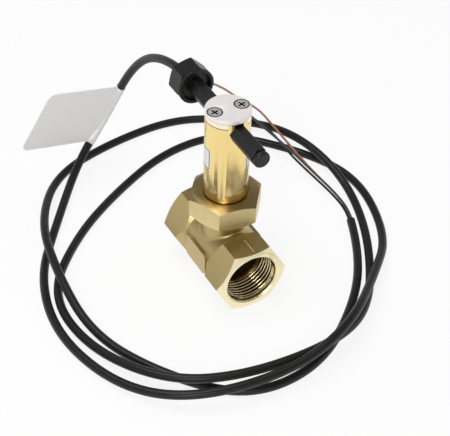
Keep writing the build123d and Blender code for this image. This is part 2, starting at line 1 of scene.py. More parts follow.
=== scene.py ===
# %% [markdown]
# # A paddle flow switch
# A brass pipe tee with a switch head on its branch. Water pushes a paddle inside, and
# a magnet on the paddle's lever closes a contact in the black rod on top. This lesson
# loads the solids of the CAD model and makes what they leave out: the pipe threads,
# the forged and turned metal, the label, the cable with its film flag, and the light.
# The CAD model is loaded first, because it is the frame that every piece sits in.
# %% Load the CAD model
import bmesh
import bpy
import json
import math
import numpy as np
from mathutils import Matrix
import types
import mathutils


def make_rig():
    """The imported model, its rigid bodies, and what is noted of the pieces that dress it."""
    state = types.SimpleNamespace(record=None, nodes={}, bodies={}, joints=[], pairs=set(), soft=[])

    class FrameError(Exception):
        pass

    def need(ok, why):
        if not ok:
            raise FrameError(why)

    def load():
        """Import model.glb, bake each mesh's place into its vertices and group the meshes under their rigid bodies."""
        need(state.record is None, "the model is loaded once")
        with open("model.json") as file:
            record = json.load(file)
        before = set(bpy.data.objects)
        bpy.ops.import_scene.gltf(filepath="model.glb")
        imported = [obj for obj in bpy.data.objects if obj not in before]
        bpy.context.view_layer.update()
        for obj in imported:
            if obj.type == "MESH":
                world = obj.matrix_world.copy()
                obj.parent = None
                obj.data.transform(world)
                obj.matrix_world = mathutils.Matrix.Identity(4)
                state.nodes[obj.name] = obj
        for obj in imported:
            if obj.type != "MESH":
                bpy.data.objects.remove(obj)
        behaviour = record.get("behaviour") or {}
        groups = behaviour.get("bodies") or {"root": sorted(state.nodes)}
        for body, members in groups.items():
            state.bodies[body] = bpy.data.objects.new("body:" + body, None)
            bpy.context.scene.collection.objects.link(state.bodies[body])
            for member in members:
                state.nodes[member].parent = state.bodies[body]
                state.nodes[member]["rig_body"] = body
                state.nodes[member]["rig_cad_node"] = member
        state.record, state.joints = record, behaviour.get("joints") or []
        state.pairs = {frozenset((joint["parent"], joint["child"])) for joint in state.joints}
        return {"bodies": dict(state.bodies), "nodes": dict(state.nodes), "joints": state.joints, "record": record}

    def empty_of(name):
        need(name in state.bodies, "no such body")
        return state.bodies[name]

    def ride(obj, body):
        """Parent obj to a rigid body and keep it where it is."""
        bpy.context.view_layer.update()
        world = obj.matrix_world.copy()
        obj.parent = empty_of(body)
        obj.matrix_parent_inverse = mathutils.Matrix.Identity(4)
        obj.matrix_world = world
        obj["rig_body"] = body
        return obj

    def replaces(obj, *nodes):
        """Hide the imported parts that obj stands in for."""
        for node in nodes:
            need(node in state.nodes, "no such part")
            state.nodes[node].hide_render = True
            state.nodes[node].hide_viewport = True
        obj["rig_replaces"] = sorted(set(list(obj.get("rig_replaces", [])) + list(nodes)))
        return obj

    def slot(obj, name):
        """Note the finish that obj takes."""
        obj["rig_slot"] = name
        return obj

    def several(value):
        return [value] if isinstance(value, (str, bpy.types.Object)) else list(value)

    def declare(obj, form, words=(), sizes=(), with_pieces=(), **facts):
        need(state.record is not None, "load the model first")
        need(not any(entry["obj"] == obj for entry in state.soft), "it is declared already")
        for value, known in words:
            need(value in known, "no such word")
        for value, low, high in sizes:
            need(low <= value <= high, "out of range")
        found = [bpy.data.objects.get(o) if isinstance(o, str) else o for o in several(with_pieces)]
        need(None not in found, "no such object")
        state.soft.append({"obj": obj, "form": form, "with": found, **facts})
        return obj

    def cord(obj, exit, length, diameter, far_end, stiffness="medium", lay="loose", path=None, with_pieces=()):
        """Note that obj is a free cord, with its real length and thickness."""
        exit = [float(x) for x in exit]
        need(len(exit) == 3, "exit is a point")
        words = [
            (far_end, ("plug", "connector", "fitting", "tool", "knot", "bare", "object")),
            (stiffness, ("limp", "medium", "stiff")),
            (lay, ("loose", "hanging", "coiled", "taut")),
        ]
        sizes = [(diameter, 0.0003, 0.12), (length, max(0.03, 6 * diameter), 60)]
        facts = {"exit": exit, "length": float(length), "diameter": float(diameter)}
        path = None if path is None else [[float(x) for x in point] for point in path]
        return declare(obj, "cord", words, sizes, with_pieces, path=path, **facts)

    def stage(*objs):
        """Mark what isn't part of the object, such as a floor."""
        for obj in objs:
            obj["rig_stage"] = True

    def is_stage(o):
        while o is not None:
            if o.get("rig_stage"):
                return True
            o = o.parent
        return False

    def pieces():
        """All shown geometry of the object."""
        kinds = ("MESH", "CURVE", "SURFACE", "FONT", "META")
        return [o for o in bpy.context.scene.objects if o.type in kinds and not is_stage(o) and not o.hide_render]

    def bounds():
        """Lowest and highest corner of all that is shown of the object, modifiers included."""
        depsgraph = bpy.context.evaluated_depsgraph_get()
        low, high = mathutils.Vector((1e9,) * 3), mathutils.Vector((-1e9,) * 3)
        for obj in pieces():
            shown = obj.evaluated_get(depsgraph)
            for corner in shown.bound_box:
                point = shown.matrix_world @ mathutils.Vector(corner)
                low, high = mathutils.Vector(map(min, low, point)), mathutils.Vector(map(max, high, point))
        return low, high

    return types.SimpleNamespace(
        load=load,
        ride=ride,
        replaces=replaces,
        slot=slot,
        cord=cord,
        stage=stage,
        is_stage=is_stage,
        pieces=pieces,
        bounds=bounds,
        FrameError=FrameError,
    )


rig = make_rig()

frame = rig.load()
cad_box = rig.bounds()
nodes = frame["nodes"]
print("CAD box", [tuple(round(v, 4) for v in corner) for corner in cad_box])

# %% [markdown]
# ## The camera
# The photograph looks down on the part from the mouth's side, with a long lens, which
# keeps the far end of the tee almost as large as the near one. A camera can be aimed by
# hand, but here its angles are known, so its matrix is worked out: one axis to the
# right, one up and one back towards the viewer, with a small roll.
# %% Camera
azimuth, elevation, roll = np.radians((60.038, 40.95, 1.962))
camera_target = np.array([0.0, 0.000277, 0.02065])
camera_distance = 0.81092
back = np.array([
    math.sin(azimuth) * math.cos(elevation),
    -math.cos(azimuth) * math.cos(elevation),
    math.sin(elevation),
])
level_right = np.array([math.cos(azimuth), math.sin(azimuth), 0.0])
level_up = np.cross(back, level_right)
camera_matrix = np.eye(4)
camera_matrix[:3, 0] = level_right * math.cos(roll) + level_up * math.sin(roll)
camera_matrix[:3, 1] = level_up * math.cos(roll) - level_right * math.sin(roll)
camera_matrix[:3, 2] = back
camera_matrix[:3, 3] = camera_target + back * camera_distance
camera = bpy.data.objects.new("camera", bpy.data.cameras.new("camera"))
bpy.context.scene.collection.objects.link(camera)
camera.data.lens = 110.2
camera.data.sensor_width = 36
camera.data.clip_start = 0.05
camera.matrix_world = Matrix(camera_matrix)
bpy.context.scene.camera = camera
print("camera at", [round(v, 3) for v in camera.location])

# %% [markdown]
# ## The cable
# The cable is one length of round black jacket, about two metres, that leaves the gland,
# comes down and lies in almost three loose loops. It could be simulated, but the loops
# have to lie as they do in the photograph, so it follows a curve with few control points.
# A NURBS spline of order 3 with its ends held gives the even, stiff bends of a real jacket.
# %% Cable curve
cable_route = [
    (-0.048, 0, 0.0915),
    (-0.075, 0, 0.0895),
    (-0.112, -0.003, 0.065),
    (-0.135, -0.015, 0.01),
    (-0.126, -0.039, -0.012),
    (-0.08, -0.075, -0.0173),
    (-0.04, -0.103, -0.0173),
    (0.01, -0.113, -0.0173),
    (0.063, -0.098, -0.016),
    (0.095, -0.067, -0.0085),
    (0.102, -0.01, -0.007),
    (0.092, 0.032, 0.001),
    (0.056, 0.072, -0.009),
    (0.023, 0.104, -0.0173),
    (-0.032, 0.119, -0.0173),
    (-0.073, 0.102, -0.0173),
    (-0.116, 0.063, -0.0173),
    (-0.115, 0.018, -0.0173),
    (-0.09, -0.031, -0.0173),
    (-0.063, -0.069, -0.0173),
    (-0.024, -0.103, -0.0173),
    (0.026, -0.101, -0.0173),
    (0.075, -0.076, -0.0095),
    (0.092, -0.034, -0.009),
    (0.093, 0.022, -0.0085),
    (0.071, 0.06, -0.0173),
    (0.025, 0.09, -0.0173),
    (-0.02, 0.107, -0.0173),
    (-0.053, 0.105, -0.0085),
    (-0.089, 0.097, -0.0085),
    (-0.122, 0.082, -0.0173),
    (-0.145, 0.043, -0.0173),
    (-0.14, -0.01, -0.0173),
    (-0.125, -0.055, -0.017),
    (-0.08, -0.085, -0.009),
    (-0.034, -0.095, -0.008),
    (0.016, -0.095, -0.0173),
    (0.061, -0.074, -0.0173),
    (0.1, -0.039, -0.0173),
    (0.098, 0.01, -0.0173),
    (0.063, 0.055, -0.0173),
    (0.027, 0.081, -0.0173),
    (0, 0.092, -0.0173),
]


def cord_line(points):
    """Points along a cord: one open NURBS spline of order 3 over these control points, read back."""
    curve = bpy.data.curves.new("cord_line", "CURVE")
    curve.dimensions = "3D"
    spline = curve.splines.new("NURBS")
    spline.points.add(len(points) - 1)
    spline.points.foreach_set("co", np.c_[np.array(points), np.ones(len(points))].ravel())
    spline.order_u = 3
    spline.use_endpoint_u = True
    spline.resolution_u = 12
    holder = bpy.data.objects.new("cord_line", curve)
    line = bpy.data.meshes.new_from_object(holder)
    found = np.empty(len(line.vertices) * 3)
    line.vertices.foreach_get("co", found)
    bpy.data.objects.remove(holder)
    bpy.data.curves.remove(curve)
    bpy.data.meshes.remove(line)
    return found.reshape(-1, 3)


cable_line = cord_line(cable_route)
cable_steps = np.linalg.norm(np.diff(cable_line, axis=0), axis=1)
print("cable, metres", round(float(cable_steps.sum()), 3))

# %% [markdown]
# ## From a grid of points to a mesh
# Most of the new pieces are surfaces over two parameters: a row of points goes along the
# piece and a column goes round it. This helper takes the whole grid as one numpy array
# and joins neighbours with four-sided faces, round the seam too where the piece closes.
# %% Grid helper
def grid_mesh(name, points, close_rows=False, close_columns=False):
    """A mesh over a grid of points (rows, columns, 3).

    Each face joins a point with its next neighbours along and across, and a closed
    direction joins the last point to the first.
    """
    rows, columns = points.shape[:2]
    row = np.arange(rows if close_rows else rows - 1)
    column = np.arange(columns if close_columns else columns - 1)
    r, c = np.meshgrid(row, column, indexing="ij")
    next_r, next_c = (r + 1) % rows, (c + 1) % columns
    quads = np.stack([
        r * columns + c,
        next_r * columns + c,
        next_r * columns + next_c,
        r * columns + next_c,
    ], axis=-1)
    mesh = bpy.data.meshes.new(name)
    mesh.from_pydata(points.reshape(-1, 3).tolist(), [], quads.reshape(-1, 4).tolist())
    mesh.shade_smooth()
    piece = bpy.data.objects.new(name, mesh)
    bpy.context.scene.collection.objects.link(piece)
    print(name, "faces", len(mesh.polygons))
    return piece


def merge_poles(piece):
    """Merges the points that lie on each other, such as a pole's, and leaves no empty faces."""
    work = bmesh.new()
    work.from_mesh(piece.data)
    bmesh.ops.remove_doubles(work, verts=work.verts, dist=1e-7)
    work.to_mesh(piece.data)
    work.free()


# %% [markdown]
# ## A round jacket along a line
# A curve could carry the round section by itself, but as a mesh the jacket's box is its
# true one, and the same formula also makes the clear sleeve that goes round it.
# %% Tube helper
ring_count = 24


def carried_ring(line):
    """Unit vectors round each point of a line: across cos a - upwards sin a, across being level."""
    along = np.gradient(line, axis=0)
    across = np.cross(along, [0.0, 0.0, 1.0])
    across /= np.linalg.norm(across, axis=1)[:, None]
    upwards = np.cross(along, across)
    upwards /= np.linalg.norm(upwards, axis=1)[:, None]
    a = np.linspace(0, 2 * np.pi, ring_count, endpoint=False)[None, :, None]
    return across[:, None, :] * np.cos(a) - upwards[:, None, :] * np.sin(a)


def tube(name, line, radius):
    """An open tube: point = line + radius * ring."""
    return grid_mesh(name, line[:, None, :] + radius * carried_ring(line), close_columns=True)


def round_cord(name, line, diameter):
    """A closed tube: its first and last points are taken twice, the outer ones with no radius."""
    ends = np.concatenate([line[:1], line, line[-1:]])
    radius = np.full(len(ends), diameter / 2)
    radius[[0, -1]] = 0
    ring = carried_ring(line)
    ring = np.concatenate([ring[:1], ring, ring[-1:]])
    piece = grid_mesh(name, ends[:, None, :] + radius[:, None, None] * ring, close_columns=True)
    merge_poles(piece)
    piece.data.set_sharp_from_angle(angle=math.radians(60))
    return piece


cable_diameter = 0.0053
jacket = round_cord("cable_jacket", cable_line, cable_diameter)
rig.ride(jacket, "carrier")
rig.replaces(jacket, "cable")
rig.slot(jacket, "cable_jacket")

# %% [markdown]
# ## The three cores
# Where the jacket ends, its three thin cores come out and run back over the loops. They
# are cords of their own, each with its own route, and each leaves the end of the jacket.
# %% Cores
wire_routes = {
    "wire_black": [
        (-0.00035, 0.09115, -0.0178),
        (-0.0096, 0.0949, -0.0178),
        (-0.028, 0.0955, -0.0175),
        (-0.05, 0.0925, -0.016),
        (-0.068, 0.088, -0.0115),
        (-0.082, 0.086, -0.007),
        (-0.099, 0.085, -0.0065),
        (-0.118, 0.084, -0.011),
        (-0.136, 0.082, -0.018),
        (-0.15, 0.078, -0.0185),
    ],
    "wire_brown": [
        (0.00035, 0.09285, -0.0178),
        (-0.0089, 0.0966, -0.0178),
        (-0.027, 0.0975, -0.017),
        (-0.047, 0.095, -0.0155),
        (-0.066, 0.092, -0.011),
        (-0.082, 0.0893, -0.006),
        (-0.098, 0.0895, -0.0055),
        (-0.116, 0.092, -0.0085),
        (-0.134, 0.093, -0.014),
        (-0.151, 0.092, -0.0186),
        (-0.166, 0.089, -0.019),
        (-0.178, 0.082, -0.019),
    ],
    "wire_grey": [
        (0, 0.092, -0.01635),
        (-0.0093, 0.0958, -0.01635),
        (-0.028, 0.0953, -0.0142),
        (-0.048, 0.0923, -0.0123),
        (-0.066, 0.0885, -0.0085),
        (-0.08, 0.084, -0.0045),
        (-0.097, 0.0815, -0.0043),
        (-0.114, 0.082, -0.0065),
        (-0.13, 0.084, -0.012),
        (-0.141, 0.0857, -0.0168),
        (-0.152, 0.085, -0.019),
    ],
}
core_diameter = 0.0015
core_lines = {}
cores = {}
for core_name, core_route in wire_routes.items():
    core_lines[core_name] = cord_line(core_route)
    core = round_cord(core_name.replace("wire", "core"), core_lines[core_name], core_diameter)
    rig.ride(core, "carrier")
    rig.replaces(core, core_name)
    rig.slot(core, core_name.replace("wire", "core"))
    cores[core_name] = core

# %% [markdown]
# ## Copies of the solids that can take a bevel
# A CAD mesh is loose triangles with knife edges, and a real edge is never that sharp: it
# is the thin bright line along each edge that makes metal look like metal. So the visible
# metal pieces are copies, with their points merged and a fine bevel on their edges. A few
# points may be moved on the way, where the real piece differs a little from its solid.
# %% Copy helper
MM = 0.001


def merged_copy(node, name, bevel_width, sharp_angle=30, reshape=None, prepare=None):
    """A copy of a CAD node's mesh, merged, with its flat faces joined and its sharp edges bevelled.

    reshape moves the mesh's points first, and prepare works on the merged mesh.
    """
    mesh = nodes[node].data.copy()
    mesh.name = name
    if reshape:
        at = np.empty(len(mesh.vertices) * 3)
        mesh.vertices.foreach_get("co", at)
        mesh.vertices.foreach_set("co", reshape(at.reshape(-1, 3)).ravel())
    work = bmesh.new()
    work.from_mesh(mesh)
    bmesh.ops.remove_doubles(work, verts=work.verts, dist=1e-6)
    if prepare:
        prepare(work)
    bmesh.ops.dissolve_limit(work, angle_limit=math.radians(0.3), verts=work.verts, edges=work.edges)
    weight = work.edges.layers.float.new("bevel_weight_edge")
    for edge in work.edges:
        edge[weight] = edge_weight(node, edge, sharp_angle)
    work.to_mesh(mesh)
    work.free()
    mesh.shade_smooth()
    mesh.set_sharp_from_angle(angle=math.radians(sharp_angle))
    piece = bpy.data.objects.new(name, mesh)
    bpy.context.scene.collection.objects.link(piece)
    bevel = piece.modifiers.new("bevel", "BEVEL")
    bevel.width = bevel_width
    bevel.segments = 3
    bevel.limit_method = "WEIGHT"
    bevel.harden_normals = True
    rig.ride(piece, nodes[node]["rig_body"])
    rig.replaces(piece, node)
    print(name, "points", len(mesh.vertices))
    return piece


thread_room = 17.2 * MM
pipe_bore_room = 13.6 * MM
branch_bore_room = 13.3 * MM


def edge_weight(node, edge, sharp_angle):
    """How much of the bevel an edge takes: forged edges are round and turned ones crisp.

    The tee's inner edges and its mouths' edges stay as they are, because the paddle
    swings and the threads begin there.
    """
    if len(edge.link_faces) != 2 or edge.calc_face_angle() < math.radians(sharp_angle):
        return 0.0
    if node != "tee_body":
        return 1.0
    middle = (edge.verts[0].co + edge.verts[1].co) / 2
    from_pipe_axis = math.hypot(middle.y, middle.z)
    if from_pipe_axis < thread_room and abs(middle.x) > 16 * MM:
        return 0.0
    if from_pipe_axis < pipe_bore_room or math.hypot(middle.x, middle.y) < branch_bore_room:
        return 0.0
    return 0.4 if max(abs(point.co.x) for point in edge.verts) > 33 * MM else 1.0


# %% [markdown]
# ## The tee's bores
# The real tee is forged, then bored and faced. Behind the threads there is no room in the
# solid's plain bores, so their points go out to the mouth's radius, and the threaded
# sleeves fill that room. Where the two bores cross, the edge moves out a little: in the
# solid the paddle just touches that edge at the very end of its swing, and this mends it
# here only, not in the solid.
# %% Tee bores
bore_radius = 15.145 * MM
mouth_x = 35 * MM
mouth_radius = 16.9 * MM
pipe_bore = 13.25 * MM
branch_bore = 13 * MM
crossing_stretch = 1.04


def open_bores(at):
    """Points on the threads' bores go out to the mouth's radius.

    The inner end of the mouth's cone comes forward to its edge. Beside the paddle, the
    edge where the two bores cross is stretched along the pipe.
    """
    from_axis = np.hypot(at[:, 1], at[:, 2])
    from_branch_axis = np.hypot(at[:, 0], at[:, 1])
    on_bore = (np.abs(from_axis - bore_radius) < 0.03 * MM) & (np.abs(at[:, 0]) > 16.9 * MM)
    at[on_bore, 1:] *= (mouth_radius / from_axis[on_bore])[:, None]
    crossing = np.abs(from_branch_axis - branch_bore) < 0.1 * MM
    crossing &= np.abs(from_axis - pipe_bore) < 0.1 * MM
    beside_paddle = (at[:, 2] > 0) & (np.abs(at[:, 1]) > 6 * MM)
    at[crossing & beside_paddle, 0] *= crossing_stretch
    near_mouth = on_bore & (np.abs(at[:, 0]) > 30 * MM)
    at[near_mouth, 0] = np.sign(at[near_mouth, 0]) * mouth_x
    return at


print("room behind the threads, mm", round((mouth_radius - bore_radius) / MM, 3))

# %% [markdown]
# ## The tee's neck
# Under the nut the branch of the real tee narrows to a neck, which runs out into the
# barrel in a fillet. A boolean could cut it, but the barrel under it is round, and rows of
# points keep the fillet even all the way. So that part of the solid's branch wall is taken
# away, and a new surface of turned rows is joined to both of its edges.
# %% Tee
barrel_radius = 18.5 * MM
shoulder_x = 14.41 * MM
branch_radius = 16.585 * MM
neck_radius = 13.6 * MM
fillet_radius = 2.0 * MM
wall_top = 33.5 * MM
collar_bottom = 28.3 * MM


def body_height(x, y):
    """Height of the forging's body, sqrt(radius^2 - y^2), a circle round the pipe axis.

    Past the shoulder its radius grows as fast as x does, so the shoulder is a cone.
    """
    radius = barrel_radius + np.clip(np.abs(x) - shoulder_x, 0, None)
    return np.sqrt(radius**2 - y**2)


def turned_row(turn, radius, height):
    """A row round the branch's axis: radius cos turn, radius sin turn, height."""
    height = np.broadcast_to(height, turn.shape)
    return np.stack([radius * np.cos(turn), radius * np.sin(turn), height], axis=-1)


def neck_rows(count=96):
    """Rows down the branch: the thread's wall, a 45 degree shoulder, the neck and a fillet.

    The fillet is a quadratic curve, whose corner point is where neck and body would meet.
    """
    turn = np.linspace(0, 2 * np.pi, count, endpoint=False)
    points = [
        turned_row(turn, branch_radius, wall_top),
        turned_row(turn, branch_radius, collar_bottom),
        turned_row(turn, neck_radius, collar_bottom - branch_radius + neck_radius),
    ]
    foot = neck_radius + fillet_radius
    foot_z = body_height(foot * np.cos(turn), foot * np.sin(turn))
    corner_z = body_height(neck_radius * np.cos(turn), neck_radius * np.sin(turn))
    for t in np.linspace(0, 1, 9):
        a, b, c = (1 - t) ** 2, 2 * t * (1 - t), t**2
        r = a * neck_radius + b * neck_radius + c * foot
        points.append(turned_row(turn, r, a * (corner_z + fillet_radius) + b * corner_z + c * foot_z))
    edge = foot + 0.5 * MM
    points.append(turned_row(turn, edge, body_height(edge * np.cos(turn), edge * np.sin(turn))))
    return np.stack(points)


def tee_material(face):
    """0 is the forging, 1 an end that was faced, 2 the bore behind the threads, painted dark as shade and partly as
    its oil.
    """
    centre = face.calc_center_median()
    if math.hypot(centre.y, centre.z) < 14.5 * MM and abs(centre.x) < 20 * MM:
        return 2
    return int(abs(face.normal.x) > 0.35 and abs(centre.x) > 31 * MM)


def narrow_branch(work):
    """The branch's side wall goes, the neck's rows come in, and both borders are joined."""
    wall = [
        face for face in work.faces
        if all(abs(math.hypot(v.co.x, v.co.y) - branch_radius) < 0.02 * MM for v in face.verts)
    ]
    bmesh.ops.delete(work, geom=wall, context="FACES")
    neck = grid_mesh("neck", neck_rows(), close_columns=True)
    work.from_mesh(neck.data)
    bpy.data.objects.remove(neck)
    border = [edge for edge in work.edges if edge.is_boundary]
    upper = [edge for edge in border if edge.verts[0].co.z > 30 * MM]
    lower = [edge for edge in border if edge.verts[0].co.z < 30 * MM]
    for pair in (upper, lower):
        bmesh.ops.bridge_loops(work, edges=pair)
    bmesh.ops.recalc_face_normals(work, faces=work.faces)
    for face in work.faces:
        face.material_index = tee_material(face)
    print("open edges left", sum(edge.is_boundary for edge in work.edges))


tee = merged_copy("tee_body", "tee_forging", 0.5 * MM, 25, reshape=open_bores, prepare=narrow_branch)
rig.slot(tee, "forged_brass")

# %% [markdown]
# ## The pipe threads
# Each mouth has a one-inch parallel thread: eleven turns to the inch. The helix could be
# made by screwing a profile round, but as a surface it is one formula: the radius at a
# place depends only on how far along the axis it is and how far round, as one phase.
# %% Threads
thread_pitch = 2.309 * MM
thread_depth = 1.479 * MM
thread_start = 17.0 * MM
thread_end = 34.99 * MM
entry_slope = math.tan(math.radians(30))
thread_rows = 190
thread_columns = 128


def threaded_sleeve(name, side):
    """Radius = crest + depth * tooth(phase), with phase = along / pitch - turn.

    The tooth is a rounded V. It fades out inside over one and a half turns, and at the
    mouth it ends where the smooth entry cone begins.
    """
    along = np.linspace(thread_start, thread_end, thread_rows)
    turn = np.linspace(0, 2 * np.pi, thread_columns, endpoint=False)
    x, angle = np.meshgrid(along, turn, indexing="ij")
    phase = (x / thread_pitch - side * angle / (2 * np.pi)) % 1.0
    tooth = (0.5 + 0.5 * np.cos(2 * np.pi * phase)) ** 0.8
    cone_start = mouth_x - (mouth_radius - bore_radius) / entry_slope
    fade = np.clip((x - thread_start) / (1.5 * thread_pitch), 0, 1)
    fade = fade * np.clip((cone_start - x) / (0.35 * thread_pitch), 0, 1)
    cone = mouth_radius - (mouth_x - x) * entry_slope
    radius = np.maximum(bore_radius + thread_depth * tooth * fade, cone)
    inner = np.stack([side * x, radius * np.cos(angle), radius * np.sin(angle)], axis=-1)
    back_radius = mouth_radius + 0.02 * MM
    outer_x = side * np.array([thread_end, thread_start])[:, None] * np.ones_like(turn)
    outer_y = back_radius * np.cos(turn) * np.ones((2, 1))
    outer_z = back_radius * np.sin(turn) * np.ones((2, 1))
    outer = np.stack([outer_x, outer_y, outer_z], axis=-1)
    ring = np.concatenate([inner, outer])
    if side > 0:
        ring = ring[:, ::-1]
    sleeve = grid_mesh(name, ring, close_rows=True, close_columns=True)
    sleeve.data.set_sharp_from_angle(angle=math.radians(50))
    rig.ride(sleeve, "switch")
    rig.slot(sleeve, "forged_brass")
    return sleeve


sleeves = [threaded_sleeve("thread_outlet", 1), threaded_sleeve("thread_inlet", -1)]

# %% [markdown]
# ## Flash lines
# Where the two forging dies met, a thin ragged line of metal stays on the tee's top, on
# each collar. A noise texture would only paint it; a low ridge catches the light.
# %% Flash lines
flash_y = 1.3 * MM
flash_start, flash_end = 20.5, 33.5
flat_z = 20 * MM


def flash_line(name, side):
    """A low hump, worked out in millimetres: half width = 0.3 * (1 + a few sines), height 0.28.

    Its lower half lies under the flat, and its middle wanders by a tenth of a millimetre.
    """
    x = np.linspace(flash_start, flash_end, 90)
    wander = 0.12 * np.sin(1.7 * x) + 0.07 * np.sin(4.3 * x + 1)
    half = 0.3 * (1 + 0.35 * np.sin(2.9 * x) + 0.25 * np.sin(7.1 * x))
    a = np.linspace(0, 2 * np.pi, 12, endpoint=False)
    y = wander[:, None] + half[:, None] * np.cos(a)[None, :]
    z = 0.28 * np.sin(a)[None, :] * np.ones_like(y)
    taper = np.clip(np.minimum(x - flash_start, flash_end - x) / 1.5, 0, 1)[:, None]
    points = np.stack([
        side * x[:, None] * np.ones_like(y) * MM,
        flash_y + y * taper * MM,
        flat_z + z * taper * MM,
    ], axis=-1)
    if side < 0:
        points = points[:, ::-1]
    ridge = grid_mesh(name, points[:, ::-1], close_columns=True)
    merge_poles(ridge)
    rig.ride(ridge, "switch")
    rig.slot(ridge, "forged_brass")
    return ridge


flashes = [flash_line("flash_line_outlet", 1), flash_line("flash_line_inlet", -1)]

# %% [markdown]
# ## Nut, head, saddle, plate and screws
# These are their solids with an edge. The saddle stands nearly half a millimetre clear of
# the head, so that it grips, and the plate a little clear of the saddle: both show as dark
# lines. The saddle's groove is open up to the plate. The plate's countersinks are a little
# wider than the screws' heads, and their walls take a dark colour as painted shade, which
# gives the dark ring round each of them.
# %% Upper metal
groove_line = 95.2 * MM
groove_ceiling = 96.85 * MM
plate_bottom = 98.6 * MM
plate_top = 101.0 * MM
clamp_gap = 0.45 * MM
plate_gap = 0.3 * MM
open_ceiling = 98.35 * MM
screw_spot = 8.5 * MM
sink_radius = 4.65 * MM


def lifted_saddle(at):
    """The underside goes up by the clamp's gap, and the groove's ceiling to just under the plate."""
    low = np.abs(at[:, 2] - groove_line) < 0.02 * MM
    ceiling = np.abs(at[:, 2] - groove_ceiling) < 0.02 * MM
    at[low, 2] += clamp_gap
    at[ceiling, 2] = open_ceiling
    return at


def shade_painted_sinks(work):
    """The countersinks' walls take the second material, a dark one that paints shade in them."""
    for face in work.faces:
        centre = face.calc_center_median()
        in_sink = math.hypot(centre.x, abs(centre.y) - screw_spot) < 4.6 * MM
        face.material_index = int(in_sink and 98.7 * MM < centre.z < plate_top - 0.05 * MM)


def wider_sinks(at):
    """The countersinks' upper edges go out, and the underside stands clear of the saddle."""
    at[np.abs(at[:, 2] - plate_bottom) < 0.02 * MM, 2] += plate_gap
    for spot in (-screw_spot, screw_spot):
        away = np.hypot(at[:, 0], at[:, 1] - spot)
        rim = (away < 4.4 * MM) & (at[:, 2] > plate_top - 0.05 * MM)
        at[rim, 0] *= sink_radius / away[rim]
        at[rim, 1] = spot + (at[rim, 1] - spot) * sink_radius / away[rim]
    return at


def wider_crosses(at):
    """The cross recesses grow by a fifth, and the heads' rims draw in a little from the plate."""
    for spot in (-screw_spot, screw_spot):
        away = np.hypot(at[:, 0], at[:, 1] - spot)
        scale = np.ones(len(at))
        scale[(away < 2.35 * MM) & (at[:, 2] > 99.35 * MM)] = 1.2
        scale[(np.abs(away - 4 * MM) < 0.02 * MM) & (at[:, 2] > 100.9 * MM)] = 0.96
        at[:, 0] *= scale
        at[:, 1] = spot + (at[:, 1] - spot) * scale
    return at


def shaded_top_faces(work):
    """Faces that were turned, on the nut's top and bottom, take the second material, a darker copy of the brass that
    paints shade on them.
    """
    for face in work.faces:
        face.material_index = int(abs(face.normal.z) > 0.3)


nut = merged_copy("union_nut", "nut_forging", 0.45 * MM, prepare=shaded_top_faces)
head = merged_copy("head_housing", "head_turned", 0.2 * MM)
saddle = merged_copy("clamp_saddle", "saddle_block", 0.25 * MM, reshape=lifted_saddle)
plate = merged_copy("clamp_plate", "top_plate", 0.12 * MM, reshape=wider_sinks, prepare=shade_painted_sinks)
screws = merged_copy("clamp_screws", "cross_screws", 0.1 * MM, reshape=wider_crosses)
for piece, slot in (
    (nut, "forged_brass"),
    (head, "turned_brass"),
    (saddle, "turned_brass"),
    (plate, "plate"),
    (screws, "screws"),
):
    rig.slot(piece, slot)

# %% [markdown]
# ## The contact rod
# The rod is a hexagon bar, turned a little in its hole. A hexagon's radius has a formula:
# half the width across flats, divided by the cosine of the angle from the nearest flat's
# middle. Rows of that radius along the rod make it, with a round neck before the cap.
# %% Rod and cap
rod_z = 91.5 * MM
rod_half = 4.75 * MM
rod_corner = 5.38 * MM
rod_turn = math.radians(-7)


def hexagon_radius(turn, half, corner_cut):
    """half / cos(angle from the nearest flat's middle), and never more than the cut corner's radius."""
    from_corner = (turn - rod_turn) % (np.pi / 3)
    return np.minimum(half / np.cos(from_corner - np.pi / 6), corner_cut)


def rod_surface(name, stations, count=144):
    """Rows at stations (x, radius, inset), in millimetres.

    A row is round, or with no radius it is the hexagon, drawn in by the inset.
    """
    turn = rod_turn - np.linspace(0, 2 * np.pi, count, endpoint=False)
    rows = []
    for x, radius, inset in stations:
        if radius is None:
            r = hexagon_radius(turn, rod_half, rod_corner) - inset * MM
        else:
            r = np.full(count, radius * MM)
        rows.append(np.stack([np.full(count, x * MM), r * np.cos(turn), rod_z + r * np.sin(turn)], axis=-1))
    piece = grid_mesh(name, np.stack(rows), close_columns=True)
    merge_poles(piece)
    piece.data.set_sharp_from_angle(angle=math.radians(20))
    return piece


rod = rod_surface("contact_rod", [
    (-47.5, 0.0, 0),
    (-47.5, 7.9, 0),
    (-39.5, 7.9, 0),
    (-39.5, None, 0),
    (35.0, None, 0),
    (35.3, None, 0.3),
    (35.3, 3.9, 0),
    (35.5, 3.9, 0),
    (35.5, 0.0, 0),
])
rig.ride(rod, "carrier")
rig.replaces(rod, "contact_carrier")
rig.slot(rod, "black_plastic")
dome_angles = np.linspace(0, np.pi / 2, 8)
dome = [(37.9 + 1.2 * math.sin(a), 3.75 + 1.2 * math.cos(a), 0) for a in dome_angles]
cap_rows = [
    (35.3, 0.0, 0),
    (35.3, 3.8, 0),
    (36.4, 3.8, 0),
    (36.4, 4.6, 0),
    (36.7, 4.95, 0),
    *dome,
    (39.1, 0.0, 0),
]
cap = rod_surface("rod_end_cap", cap_rows)
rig.ride(cap, "carrier")
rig.replaces(cap, "carrier_end_cap")
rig.slot(cap, "black_plastic")

# %% [markdown]
# ## The rod's hole
# The solid's slot is square, and the real hole fits the hexagon, with a narrow slot above
# it. A filler brings it to that shape: in section a C between the hexagon and the square,
# and its two ends lie on the head's round side.
# %% Rod guide
slot_half = 6.14 * MM
slot_bottom = 86.16 * MM
guide_top = 98.3 * MM
gap_half = 2.9 * MM
head_radius = 13 * MM


